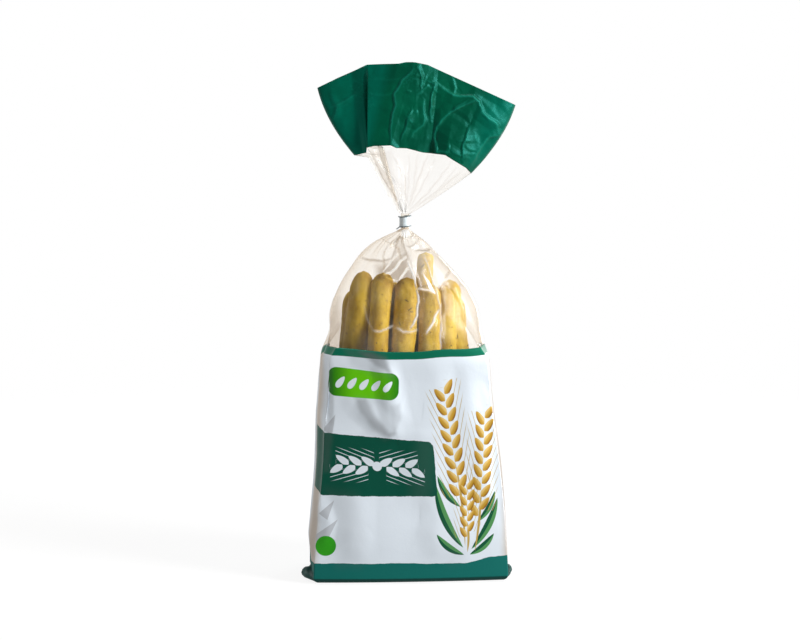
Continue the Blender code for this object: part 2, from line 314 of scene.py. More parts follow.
DOME_CREASES = (
    (0.3, 1.4, 3, 0.4, ((-14.5, 168.1), (-12.7, 170.8), (-9.9, 174), (-5.9, 178.1), (-2.4, 179.5))),
    (0.4, 1.4, 3, 0.95, ((-14.4, 168), (-10.4, 168), (-7, 171.4), (-4.1, 174.9), (-0.7, 177.8))),
    (0.5, 3, 1.4, 0.95, ((-0.4, 175.2), (1, 171.4), (2.7, 166.8), (3.9, 160.4))),
    (0.3, 1.4, 3, 0.8, ((1.6, 170.6), (-0.7, 170.8), (-3, 168), (-5.3, 164.5))),
    (0.3, 1.4, 2.5, 0.35, ((-13.9, 167.1), (-10.4, 165.3), (-5.3, 164.5))),
    (1, 4, 1.2, 0.95, ((3.9, 160.4), (4.6, 157), (4.8, 152.9), (3.9, 146), (2.2, 141.3), (-0.1, 138.7))),
    (0.6, 1.2, 4, 0.45, ((3.9, 160.4), (7.9, 159.6), (11.4, 159.3), (14.8, 157))),
    (0.7, 3, 1.2, 0.4, ((8.8, 178.4), (12.5, 166.8), (15.4, 157.5), (16.8, 150.6), (17.2, 141.3))),
    (0.8, 3.5, 1.2, 0.9, ((16.8, 149.4), (14.8, 146), (12.5, 141.3), (9, 135.7))),
    (0.7, 3, 1.2, 0.45, ((17.2, 143), (16.9, 136), (16.7, 127))),
    (0.5, 3, 3, 0.08, ((-25.3, 152.7), (-23.1, 143.8), (-20.2, 137.9))),
    (0.7, 2, 3, 0.45, ((-20.2, 137.9), (-16.5, 137), (-13, 138.2), (-9.2, 140.6))),
    (0.7, 2, 3, 0.45, ((-7.4, 139.4), (-3.5, 136.8), (0.5, 137.2), (4.6, 138.4))),
    (-0.7, 4, 1.4, -0.8, ((-27.7, 176.6), (-24.2, 175.9), (-20.8, 174.8), (-15, 174.9), (-8.6, 176.1))),
    (-0.7, 3, 1.2, -0.8, ((3.8, 180.1), (7.9, 180), (13.6, 180.7))),
    (0.3, 2, 2, -0.4, ((-1, 183), (1, 182.4), (3.3, 183.1), (6.8, 185.6))),
    (0.5, 1.5, 3, -0.6, ((-4.4, 188.5), (-7, 181.3), (-8.7, 176.1), (-9.2, 173.7))),
    (0.5, 3, 1.5, -0.6, ((-4.1, 188.2), (-2.1, 183.3), (-1, 179), (-0.4, 174.9))),
    (0.8, 2, 6, 0.15, ((-39.9, 158.6), (-42.8, 149.7), (-43.5, 140), (-43, 129))),
    (0.8, 6, 2, 0.15, ((27, 160), (33, 149), (37, 137), (38, 128))),
)
# The dome's strong bright patches are painted highlights (a glint, glare over a stick's head, the bright film
# under the tie), the faint bright ones milky haze, and the dark ones painted brownish shade.
DOME_PATCHES = (
    (-0.3, 0.8, ((-4.3, 188.8), (-7, 181.3), (-9.2, 173.7), (-5.9, 177.2), (-1, 177.8), (-2.1, 183.3))),
    (0.9, 0.5, ((8.5, 167.4), (9.3, 164.5), (10.9, 160.4), (14.8, 157), (13.4, 159.8), (11.4, 163.3))),
    (0.4, 1, ((3.3, 180.6), (13.1, 181.2), (10.2, 184.5), (7.3, 185.3), (4.5, 182.7))),
    (-0.85, 3.2, ((-17, 172), (-10.5, 173.8), (-1, 178.5), (3.4, 162), (-6, 163), (-17, 166))),
    (0.85, 0.8, ((-3.6, 188), (-1.2, 186.6), (1.4, 187.6), (2.2, 191), (-2.6, 191))),
    (0.08, 2, ((3, 181.5), (12.5, 181.5), (13.5, 168), (9, 160.5), (3, 160.5))),
    (0.06, 2.6, ((14.5, 178), (20, 173), (27.5, 165), (28, 161.5), (21, 163), (15.5, 164.5))),
    (0.08, 2, ((3.3, 179.5), (13.6, 179.5), (19.4, 166.8), (24.5, 164.5), (24.5, 159.8), (15.4, 159.8),
                 (13.6, 165.6), (12.5, 173.7), (5.6, 172.6))),
    (-0.6, 4, ((-47, 121), (-37, 121), (-35, 138), (-38, 154), (-44, 158), (-47, 146))),
    (0.1, 4, ((-44, 158), (-38, 160), (-36, 145), (-38.5, 128), (-46, 128))),
    (0.08, 4, ((30, 160), (36, 158), (46, 128), (33, 128), (30, 145))),
)
# The fan's lines run up from the neck: their painted highlight (positive) or painted shade (negative), then x
# and height half-way and at the top.
FAN_LINES = (
    (-0.24, -1.3, 220.3, -8.6, 233), (-0.12, 0.9, 224.6, 0.9, 233.5), (-0.2, 5.2, 216.8, 11.6, 233.7),
    (-0.14, 9.2, 217.5, 15.4, 231.6), (-0.18, 11.6, 211.6, 24.4, 229.4), (-0.14, 14.2, 209.9, 30.4, 223.7),
    (0.4, -5.6, 216, -17.5, 231.5), (-0.18, -9.6, 214, -20.4, 232), (-0.12, 3.4, 214.2, 5.5, 233),
    (-0.14, 17.5, 213.4, 27.5, 226.5),
)
FAN_CREASES = tuple(
    (0.2, 1.5, 1.5, white, ((-0.4, 201), (x * 0.5, lerp(201, z, 0.45)), (x, z), (top_x, top_z)))
    for white, x, z, top_x, top_z in FAN_LINES
)
# The fan's patches: two of painted shade where pleats lie over one another, and one painted highlight just
# above the tie.
FAN_PATCHES = (
    (-0.12, 1.4, ((-13, 225.5), (-8.1, 222), (-2.1, 215.1), (-3, 209.9), (-5.6, 204.7), (-8.6, 210.8),
                  (-10.7, 216.8))),
    (-0.12, 1.5, ((-21, 234.5), (-8.6, 235), (-8.1, 222), (-11, 216.8), (-17.6, 228.9))),
    (0.75, 0.7, ((-3, 210.8), (-0.4, 205.6), (0.6, 201.2), (-2.1, 200.4), (-4.3, 203), (-4.7, 206))),
)
BACK_DOME_CREASES = loose_creases(61, 16, (0, 158), (20, 13), 7, 1.1, 0.7)
BACK_FOLDS = (
    (1.3, 8, 6, 0, ((22, 104), (10, 92), (2, 84))),
    (-1.2, 8, 8, 0, ((6, 108), (3, 90), (4, 62))),
    (1, 7, 10, 0, ((-34, 110), (-28, 84), (-33, 50))),
    (1, 9, 7, 0, ((14, 46), (10, 28), (12, 8))),
    (1, 6, 9, 0, ((38, 92), (33, 70), (37, 40))),
    (-0.9, 8, 6, 0, ((-16, 52), (-20, 34), (-14, 12))),
)


def label_top():
    """Height of the label's top edge at each column: it drops towards the back round the gussets."""
    behind = np.abs((TURN - FRONT) * 4.0)
    wave = 0.0004 * np.sin(behind * 9.0 + TURN * 14.0)
    corner, drop = LABEL_CORNER * smooth(0.15, 0.66, behind), LABEL_DROP * smooth(1.0, 1.45, behind)
    return LABEL_TOP + wave + corner - drop


FOOT_LIFT = 0.0028        # the front's lower edge stands this high; film turns under it to the flat base
GUSSET_PINCH = 4.6        # mm, the gussets are folded in this far at the bottom, up to PINCH_Z
PINCH_Z = 0.020
LABEL_START = 0.003       # where the rings of the foot end and the label's rows start
# Rings of the foot, in mm over the front's lower edge: how far in and how high they stand, and how far out
# and how high the ears do.
FOOT_RINGS = (
    (6, -2.8, 3, -2.8), (3, -2.5, 5.6, -2.8), (1.3, -1.7, 7.4, -2.5), (0.5, -0.8, 7.8, -1.2),
    (0.2, -0.2, 7.2, 0.7), (0, 0.2, 6, 1.9), (0, 0.6, 4, 0.9), (0, 1, 1.2, -0.6), (0, 2.2, 0.1, 1.2),
)


def ear_share():
    """How far each column belongs to the ears, and to the gussets. The ears' points, where the share is 1,
    lie a little forward of the gussets' middles."""
    side = np.clip((np.abs(across_of(TURN)) - PANEL_SHARE) / (1.0 - PANEL_SHARE), 0.0, 1.0)
    along = np.where(TURN % 1.0 < 0.5, 1.0 - 0.5 * side, 0.5 * side)
    return np.clip(np.minimum(along / 0.40, (0.78 - along) / 0.38), 0.0, 1.0) ** 1.2, smooth(0.0, 1.0, side)


def label_grid():
    """The printed film from the seam under the base to the label's top edge."""
    share = np.concatenate([np.linspace(0.0, 0.08, 10)[:-1], np.linspace(0.08, 1.0, 108)])
    high = lerp(LABEL_START, label_top()[None, :], share[:, None])
    grid = body_points(TURN[None], high)
    arc = np.cumsum(np.r_[0.0, np.linalg.norm(np.diff(grid[60], axis=0), axis=1)])[None, :]
    rough = 0.30 * MM * facets(arc, high, 0.021, 11) + 0.09 * MM * facets(arc, high, 0.008, 12)
    rise = creased(grid, FRONT_FOLDS, soft=True) + creased(grid, BACK_FOLDS, front=False, soft=True)
    calm = smooth(0.004, 0.02, high) * (1.0 - 0.85 * smooth(0.90, 1.0, share[:, None]))
    grid += normals_of(grid) * ((rough + rise) * calm)[..., None]
    ear, tucked = ear_share()
    out = np.sign(across_of(TURN))
    pinch = out * tucked * GUSSET_PINCH * MM
    grid[..., 0] -= pinch * (1.0 - smooth(LABEL_START, PINCH_Z, high))
    base = body_points(TURN[None], np.full((1, 1), LABEL_START))[0]
    outward = base[:, :2] / np.array([HALF_WIDTH, HALF_DEPTH])
    outward /= np.linalg.norm(outward, axis=1, keepdims=True)
    base[:, 0] -= pinch
    ruffle = ear * np.sin(TURN * 150.0) * 0.30
    lowest = 0.15 - FOOT_LIFT / MM      # a little over the surface that the bag stands on
    foot = []
    for inset, height, reach, ear_height in FOOT_RINGS:
        ring = base.copy()
        ring[:, :2] -= outward * inset * MM * (1.0 - ear)[:, None]
        ring[:, 0] += out * ear * reach * MM
        ring[:, 2] = np.maximum(lerp(height, ear_height, ear) + ruffle * reach * 0.15, lowest) * MM
        foot.append(ring)
    under = []
    for share in (0.004, 0.25, 0.5, 0.75, 0.93):
        ring = foot[0].copy()
        ring[:, 1] *= share
        ring[:, 2] += 0.10 * MM * (1.0 - share)
        under.append(ring)
    return np.concatenate([np.array(under), np.array(foot), grid])


def dome_grid():
    """The clear film from the label's top edge, over the sticks' ends, and through the neck."""
    share = np.linspace(0.0, 1.0, 108)
    z = lerp(label_top()[None, :], NECK_Z, 1.0 - (1.0 - share[:, None]) ** 1.12)
    grid = body_points(TURN[None], z)
    up = (z - LABEL_TOP) / (NECK_Z - LABEL_TOP)
    radius = np.hypot(grid[..., 0], grid[..., 1])
    fold = 0.8 * MM * pleats(TURN, share, 14, 0.5, 21) * bump(0.45, 0.78, 1.02, up)
    fold += 0.35 * MM * pleats(TURN, share, 38, 0.6, 22) * bump(0.70, 0.90, 1.01, up)
    fold += 0.5 * MM * pleats(TURN, share, 11, 0.4, 23) * bump(0.0, 0.45, 1.0, up)
    arc = (TURN * 0.29)[None, :]
    fold += 0.25 * MM * facets(arc + 0.12 * up, z, 0.015, 24) * bump(-0.2, 0.4, 0.98, up)
    fold += 0.10 * MM * facets(arc - 0.1 * up, z, 0.0055, 25) * bump(-0.1, 0.5, 0.99, up)
    fold = np.clip(fold, -0.22 * radius, 0.22 * radius) * smooth(0.0, 0.08, up)
    grid += normals_of(grid) * fold[..., None]
    fade = smooth(0.0, 0.06, up) * (1.0 - smooth(0.90, 1.0, up))
    rise = creased(grid, DOME_CREASES) + creased(grid, BACK_DOME_CREASES, front=False)
    grid += normals_of(grid) * (rise * fade)[..., None]
    return np.concatenate([grid, neck_grid(np.linspace(0.0, 1.0, 9)[1:])])


def neck_grid(share):
    angle = TURN[None] * 2.0 * math.pi
    radius = NECK_RADIUS * (1.0 + 0.10 * pleats(TURN, share, 30, 0.2, 31))
    x = NECK_X + radius * np.cos(angle)
    z = NECK_Z + NECK_HEIGHT * share[:, None] + 0.0 * angle
    return np.stack([x, radius * np.sin(angle), z], axis=-1)


# --- the fan of film above the tie --------------------------------------------------------------------
# Across each layer, in mm: share of the width, then x and how far forward at the printed edge and at the rim.
FRONT_FAN = (
    (-1, -28.9, 0, -49.1, 0), (-0.88, -26.6, 0.2, -42.5, 0.4), (-0.72, -24.4, 0.3, -30.5, 0.2),
    (-0.62, -21.5, 2.6, -25, 2), (-0.56, -14, -2.5, -23.6, 2.8), (-0.52, -22.4, 4.2, -21.6, 3.4),
    (-0.42, -18.4, 4.4, -15, 4.4), (-0.3, -13.4, 4.8, -6, 5.6), (-0.2, -9.4, 5, 3.4, 5.6),
    (-0.08, -4.6, 4, 9, 4.6), (0.06, 2.6, 3.4, 12.6, 4), (0.14, 9, 2.4, 15, 3.4),
    (0.2, 13, 1, 17, 2.6), (0.27, 15.8, 3.8, 20.5, 2.2), (0.4, 20.5, 5.6, 29, 2.2),
    (0.55, 25.5, 5.2, 37.5, 2.4), (0.7, 30, 4.6, 45.5, 1.8), (0.85, 33.5, 2.4, 53, 1.6),
    (1, 35.9, 0, 60.4, 0),
)
BACK_FAN = (
    (-1, -28.9, 0, -49.1, 0), (-0.8, -25, 3.5, -38, 4.4), (-0.62, -19, -1.5, -27.5, -1),
    (-0.42, -12, 4.4, -16.5, 4.8), (-0.2, -6, 0.4, -5, 0.6), (0.02, 4, 4.6, 8, 5.6),
    (0.24, 10, -1.4, 20, -1), (0.44, 19.5, 4, 29, 4.6), (0.62, 25, -0.6, 41, 0.4),
    (0.82, 32, 3.6, 50.5, 3.4), (1, 35.9, 0, 60.4, 0),
)
RIM_LINE = (
    (-49.1, 269.2), (-21.6, 281.8), (-14, 282.1), (-3.9, 282.4), (0, 283.2), (4, 283.2), (11, 281.8),
    (60.4, 259.6),
)
PRINT_LINE = (
    (-28.9, 232.2), (-22.5, 233.9), (-22.4, 236.8), (-18.5, 237.6), (-9.5, 238), (-6.2, 236.5), (-0.5, 236.3),
    (8.5, 233.9), (20.8, 232.6), (26.5, 228.9), (33.4, 224.8), (35.9, 221.9),
)
GATHER_LEFT = -21.8       # mm, the clear film's left edge just under the printed edge
BULGE_LEFT, BULGE_RIGHT = 2.9, 3.2
FOLD_RELEASE = 0.955      # the left flap's film folds out to its full width from this share of the clear film
CROWN_CREASES = (
    (1.1, 4.5, 1, 0.8, ((3.6, 280.1), (-2.9, 273.5), (-7.4, 266), (-7, 259.4), (-9.1, 252), (-9.5, 238))),
    (1.5, 1.3, 6, 0.55, ((37.9, 262.7), (30.6, 259.4), (23.2, 256.1), (15.9, 247.9), (14.6, 241.3),
                         (15.9, 234.7))),
    (0.8, 1.2, 3, 0.55, ((14.6, 241.3), (15.9, 234.7), (22.4, 233.9))),
    (1.5, 1.4, 5, 0.7, ((16.7, 271), (24.8, 265.2), (36.3, 264.4), (39.5, 261.9), (41.2, 255.3),
                        (49.4, 249.5), (51.8, 242.9))),
    (1.2, 4, 1.2, 0.75, ((34.5, 248.5), (30.6, 238), (30.2, 229.7))),
    (1.2, 1.2, 4, 0.6, ((51.8, 243.8), (45.3, 242.1), (40.4, 236.3), (37.1, 229.7))),
    (-0.8, 2.5, 2.5, 0, ((24, 257), (34.6, 249.5), (38.7, 260.3))),
    (1.1, 2, 1, 0.45, ((15, 271.8), (12.8, 262), (12.6, 251.2))),
    (1, 3, 1.2, 0.4, ((1.1, 256.1), (-0.5, 249.5), (-3.8, 240.5))),
    (0.9, 1.2, 3, 0.45, ((8.5, 262.6), (9.3, 252), (8.5, 248.7), (2.8, 244.6), (2, 242.1))),
    (0.9, 1, 2.5, 0.35, ((24.6, 274.4), (26.5, 269), (25.4, 266))),
    (0.8, 2, 1, 0.35, ((5, 281), (7.6, 276), (7.2, 270), (10.5, 275.6))),
    (0.7, 1.2, 2.5, 0.3, ((24.5, 256.5), (28, 259.6), (33, 262))),
    (0.5, 1.5, 3, 0.1, ((-21, 273.9), (-12, 273.7), (-4, 273.9))),
    (0.5, 1.5, 3, 0.1, ((-21, 265.6), (-14, 265.4), (-8, 265.6))),
    (0.8, 1.2, 3, 0.25, ((-44, 258), (-36, 261), (-27, 266.5))),
    (0.8, 3, 1.2, 0.3, ((-42, 266), (-38.5, 259), (-40.5, 251))),
)
CROWN_CREASES += loose_creases(62, 12, (6, 264), (5, 8), 2.6, 0.7, 0.6)
CROWN_CREASES += loose_creases(63, 8, (27, 244), (8, 7), 3.5, 0.7, 0.5)
BACK_CROWN_CREASES = loose_creases(64, 12, (-18, 256), (14, 10), 9, 1.3, 0.7)
BACK_CROWN_CREASES += loose_creases(65, 14, (22, 252), (15, 11), 7, 1.2, 0.7)


def fan_knots(across, front, column):
    """One column of the two layers' tables, at each point."""
    first, second = [on_line(across, [(k[0], k[column]) for k in table]) for table in (FRONT_FAN, BACK_FAN)]
    return np.where(front, first, second)


def on_line(x, line):
    return np.interp(x, *zip(*line))


def fan_layers():
    """How far across each column lies, -1 to 1, and its points at the printed edge and the rim, in mm."""
    across = across_of(TURN)
    front = (TURN % 1.0 > 0.5) | (np.abs(across) > 0.9999)
    edge_x, edge_y, rim_x, rim_y = [fan_knots(across, front, k) for k in (1, 2, 3, 4)]
    side = np.where(front, -1.0, 1.0)
    open_edge, open_rim = [half * np.sqrt(np.clip(1.0 - across ** 2, 0.0, 1.0)) ** 0.8 for half in (5.0, 4.0)]
    edge = np.stack([edge_x, side * (open_edge + edge_y), on_line(edge_x, PRINT_LINE)], axis=-1)
    rim = np.stack([rim_x, side * (open_rim + rim_y), on_line(rim_x, RIM_LINE)], axis=-1)
    return across, edge, rim


def crumpled(grid, amount):
    """Adds the crown's creases and crumple facets, towards and away from the viewer."""
    x, z = grid[..., 0], grid[..., 2]
    layer = np.where(grid[..., 1] < 0, 0.0, 0.5)
    right = lerp(0.30, 1.0, smooth(-0.012, 0.006, x))
    low = lerp(1.0, 0.25, smooth(0.0, 0.010, z - 0.282 + 0.45 * x))
    rough = right * low * (facets(x + layer, z, 0.0125, 51) + 0.36 * facets(x + layer, z, 0.0050, 52))
    grid[..., 1] -= rough * MM * amount
    grid[..., 1] -= 0.75 * creased(grid, CROWN_CREASES) * amount
    grid[..., 1] += creased(grid, BACK_CROWN_CREASES, front=False) * amount
    return grid


def fan_grid():
    """The clear film from the neck to the printed edge. The left flap's film is drawn in behind the front."""
    across, edge, _ = fan_layers()
    share = np.concatenate([np.linspace(0.0, FOLD_RELEASE, 54)[:-1], np.linspace(FOLD_RELEASE, 1.0, 6)])
    rows = share[:, None]
    drawn = np.interp(across, (-1.0, -0.56), (GATHER_LEFT, -13.0))
    behind = across < -0.54
    out = smooth(FOLD_RELEASE, 1.0, rows)
    edge_x = np.where(behind, lerp(drawn, edge[:, 0], out), edge[:, 0])
    bulge = across * 3.0 * rows ** 0.35 * (1.0 - rows)
    neck = neck_grid(np.array([1.0]))[0] / MM
    x = lerp(neck[:, 0], edge_x, rows) + bulge
    z = lerp(neck[:, 2], edge[:, 2], rows)
    y = lerp(neck[:, 1], edge[:, 1], smooth(0.0, 1.0, rows) * 0.6 + 0.4 * rows)
    fine = pleats(TURN, share, 44, 0.5, 41) * bump(0.0, 0.30, 0.90, rows) * 0.35
    fine += pleats(TURN, share, 20, 0.5, 42) * bump(0.02, 0.60, 1.0, rows) * 0.5
    grid = np.stack([x, y + fine, z], axis=-1) * MM
    return crumpled(grid, smooth(0.86, 1.0, rows))


def crown_grid():
    """The printed film from its edge to the bag's open rim, straight up but for a bulge at both sides."""
    across, edge, rim = fan_layers()
    rows = np.linspace(0.0, 1.0, 112)[:, None, None]
    grid = lerp(edge[None], rim[None], rows)
    bulge = np.where(across < 0, -BULGE_LEFT, BULGE_RIGHT) * np.abs(across) ** 4
    grid[..., 0] += bulge * 4.0 * rows[..., 0] * (1.0 - rows[..., 0])
    return crumpled(grid * MM, 1.0)


# --- meshes -------------------------------------------------------------------------------------------
def film_position(grid):
    """Each point's place on the flat film: metres from the front's middle, and metres up."""
    steps = np.linalg.norm(np.diff(closed(grid), axis=1), axis=-1)
    run = np.concatenate([np.zeros((len(grid), 1)), np.cumsum(steps, axis=1)], axis=1)
    middle = np.argmin(np.abs(TURN - FRONT))
    return run - run[:, middle:middle + 1]


def film_mesh(name, grid, up, white):
    """A thin closed shell from a grid of rows. Its UV map is in metres on the flat film, with up as height,
    and white, the painted highlight and shade of creases and patches, is kept as the points' attribute
    crease."""
    rows, count = grid.shape[:2]
    inner = grid - normals_of(grid) * FILM_THICKNESS
    points = np.concatenate([grid.reshape(-1, 3), inner.reshape(-1, 3)])
    row, column = np.meshgrid(np.arange(rows - 1), np.arange(count), indexing="ij")
    following = (column + 1) % count
    a, b = row * count + column, row * count + following
    outer = np.stack([a, b, b + count, a + count], axis=-1).reshape(-1, 4)
    shift = rows * count
    ring = np.arange(count)
    nxt = (ring + 1) % count
    low = np.stack([ring, ring + shift, nxt + shift, nxt], axis=-1)
    top = (rows - 1) * count
    faces = np.concatenate([outer, outer[:, ::-1] + shift, low, low[:, ::-1] + top])
    mesh = bpy.data.meshes.new(name)
    mesh.vertices.add(len(points))
    mesh.vertices.foreach_set("co", points.astype(np.float32).ravel())
    mesh.loops.add(faces.size)
    mesh.loops.foreach_set("vertex_index", faces.astype(np.int32).ravel())
    mesh.polygons.add(len(faces))
    mesh.polygons.foreach_set("loop_start", np.arange(0, faces.size, 4, dtype=np.int32))
    uv = []
    for place in (film_position(grid), closed(up)):
        corners = (place[:-1, :-1], place[:-1, 1:], place[1:, 1:], place[1:, :-1])
        quads = np.stack(corners, axis=-1).reshape(-1, 4)
        rims = np.repeat(place[[0, -1], :-1].reshape(-1, 1), 4, axis=1)
        uv.append(np.concatenate([quads, quads[:, ::-1], rims]))
    layer = mesh.uv_layers.new(name="film")
    layer.data.foreach_set("uv", np.stack(uv, axis=-1).astype(np.float32).ravel())
    crease = mesh.attributes.new("crease", "FLOAT", "POINT")
    crease.data.foreach_set("value", np.tile(white.ravel(), 2).astype(np.float32))
    mesh.update(calc_edges=True)
    mesh.validate()
    mesh.shade_smooth()
    return mesh


def add(name, mesh, material):
    """A piece of the bag."""
    mesh.transform(Matrix.Translation((0.0, 0.0, FOOT_LIFT)))
    obj = bpy.data.objects.new(name, mesh)
    bpy.context.scene.collection.objects.link(obj)
    mesh.materials.append(material)
    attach(obj, "root")
    return obj


# --- materials ----------------------------------------------------------------------------------------
class Field:
    """A number that changes over a surface, as a shader socket, with arithmetic."""

    def __init__(self, tree, socket):
        self.tree, self.socket = tree, socket

    def math(self, operation, *others):
        node = self.tree.nodes.new("ShaderNodeMath")
        node.operation = operation
        for slot, value in zip(node.inputs, (self, *others)):
            if isinstance(value, Field):
                self.tree.links.new(value.socket, slot)
            else:
                slot.default_value = value
        return Field(self.tree, node.outputs[0])

    __add__, __sub__ = partialmethod(math, "ADD"), partialmethod(math, "SUBTRACT")
    __mul__, __truediv__ = partialmethod(math, "MULTIPLY"), partialmethod(math, "DIVIDE")
    larger, smaller = partialmethod(math, "MAXIMUM"), partialmethod(math, "MINIMUM")
    size, root = partialmethod(math, "ABSOLUTE"), partialmethod(math, "SQRT")
    power = partialmethod(math, "POWER")
    below = partialmethod(math, "LESS_THAN")      # 1 where this is less than the other number, else 0
    wrap = partialmethod(math, "WRAP")            # into the range between two numbers, the higher one first

    def step(self, low, high, first=0.0, last=1.0):
        """Runs smoothly from first to last as this goes from low to high."""
        node = self.tree.nodes.new("ShaderNodeMapRange")
        node.interpolation_type = "SMOOTHSTEP"
        self.tree.links.new(self.socket, node.inputs["Value"])
        for key, value in (("From Min", low), ("From Max", high), ("To Min", first), ("To Max", last)):
            node.inputs[key].default_value = value
        return Field(self.tree, node.outputs["Result"])


class Shader:
    """A material's node tree, with short ways to make what this file needs."""

    def __init__(self, name):
        self.material = bpy.data.materials.new(name)
        self.material.use_nodes = True
        self.tree = self.material.node_tree
        self.nodes, self.links = self.tree.nodes, self.tree.links
        self.principled = self.nodes["Principled BSDF"]
        self.output = self.nodes["Material Output"]
        self.colour = None

    def new(self, kind, **settings):
        node = self.nodes.new(kind)
        for key, value in settings.items():
            setattr(node, key, value)
        return node

    def film(self):
        """Millimetres round the film from the front's middle, and millimetres up."""
        node = self.new("ShaderNodeUVMap", uv_map="film")
        split = self.new("ShaderNodeSeparateXYZ")
        self.links.new(node.outputs["UV"], split.inputs[0])
        return Field(self.tree, split.outputs["X"]) / MM, Field(self.tree, split.outputs["Y"]) / MM

    def creases(self):
        """The painted highlight (to 1) or painted shade (to -1) that creases and patches put on the film
        here.
        """
        return Field(self.tree, self.new("ShaderNodeAttribute", attribute_name="crease").outputs["Fac"])

    def place(self):
        return self.new("ShaderNodeTexCoord").outputs["Object"]

    def grain(self, scale, detail=3.0, roughness=0.5, stretch=(1.0, 1.0, 1.0)):
        """Noise from 0 to 1 over the piece's own coordinates."""
        mapping = self.new("ShaderNodeMapping")
        mapping.inputs["Scale"].default_value = stretch
        self.links.new(self.place(), mapping.inputs["Vector"])
        node = self.new("ShaderNodeTexNoise")
        self.links.new(mapping.outputs[0], node.inputs["Vector"])
        node.inputs["Scale"].default_value = scale
        node.inputs["Detail"].default_value = detail
        node.inputs["Roughness"].default_value = roughness
        return Field(self.tree, node.outputs["Fac"])

    def blend(self, below, above, amount):
        """A colour between two: each is a colour or a socket."""
        node = self.new("ShaderNodeMix", data_type="RGBA")
        for slot, value in ((6, below), (7, above), (0, amount)):
            self.fill(node.inputs[slot], value)
        return node.outputs[2]

    def paint(self, above, amount):
        """Lays a colour over the shader's colour so far."""
        self.colour = self.blend(self.colour, above, amount)

    def relief(self, height, distance, strength=1.0, under=None):
        node = self.new("ShaderNodeBump")
        node.inputs["Distance"].default_value = distance
        node.inputs["Strength"].default_value = strength
        self.links.new(height.socket, node.inputs["Height"])
        if under:
            self.links.new(under, node.inputs["Normal"])
        return node.outputs[0]

    def fill(self, slot, value):
        """Gives a node's input a number, a colour, a socket or a Field."""
        if isinstance(value, (Field, bpy.types.NodeSocket)):
            self.links.new(value.socket if isinstance(value, Field) else value, slot)
        else:
            slot.default_value = (*value, 1.0) if isinstance(value, tuple) else value

    def set(self, **values):
        """Fills the Principled shader's inputs, with spaces written as _."""
        for key, value in values.items():
            self.fill(self.principled.inputs[key.replace("_", " ")], value)

    def mixed(self, amount, first, second):
        """A shader's output between two."""
        node = self.new("ShaderNodeMixShader")
        for slot, value in zip(node.inputs, (amount, first, second)):
            self.fill(slot, value)
        return node.outputs[0]


GREEN = (0.0, 0.054, 0.024)
PANEL_GREEN = (0.0, 0.076, 0.046)
BAND_GREEN = (0.0, 0.135, 0.075)
PALE_GREEN = (0.010, 0.23, 0.16)
# Lighter green painted on the crown's outer parts as sheen.
FLAP_SHEEN_GREEN = (0.0, 0.108, 0.066)
BASE_GREEN = (0.0, 0.122, 0.104)
# Painted shadow under the front's lower edge and on the ears.
PAINTED_SHADOW_GREEN = (0.0, 0.036, 0.030)
WHITE = (0.79, 0.86, 0.93)
PILL_LIGHT, PILL_DARK = (0.130, 0.58, 0.002), (0.010, 0.165, 0.003)
DISC_GREEN = (0.032, 0.36, 0.012)
GREY_PRINT = (0.44, 0.46, 0.49)
# Beige painted on the gussets as a warm reflection.
SIDE_REFLECTION_BEIGE = (0.56, 0.49, 0.42)
SHADE_GREY = (0.12, 0.125, 0.13)
GOLD_LIGHT, GOLD, GOLD_DARK = (0.76, 0.55, 0.20), (0.53, 0.30, 0.035), (0.24, 0.100, 0.010)
STRAW = (0.50, 0.34, 0.08)
LEAF_LIGHT, LEAF_DARK = (0.085, 0.29, 0.095), (0.006, 0.090, 0.040)
# Each printed ear of wheat, in mm: foot, degrees to the left of upright, scale, pairs of grains, stem.
EARS = ((26.5, 50, 7, 1.35, 8, 34), (38, 38, -5, 1.3, 8, 24), (31.5, 26, 1, 1.05, 5, 12))
# Each printed leaf, in mm: foot, degrees to the left of upright, length, width, bend.
LEAVES = (
    (29.5, 17, 24, 40, 5, -3), (34, 16, -27, 32, 4.6, 2.4), (30, 13, 52, 20, 4.2, -1.8),
    (33, 13, -50, 18, 4, 1.6), (27.5, 40, 36, 22, 3.8, -2), (37, 31, -30, 20, 3.6, 1.8),
)
# Thin grey rays: point, degrees to the left of upright, length, width, in mm.
RAYS = ((-40.6, 91.8, 155.0, 11.0, 6.0), (-40.4, 33.9, 140.0, 17.5, 9.0), (-42.5, 44.3, 146.0, 11.0, 6.0))
DISC = (-46.9, 18.9, 5.7)            # middle and radius, in mm
TITLE_V, ORNAMENT_U, PILL_V = 62.0, -18.5, 108.4      # middles of the title panel, its ornament and the pill
FILM_SHEEN = (0.10, 0.90, 0.85)


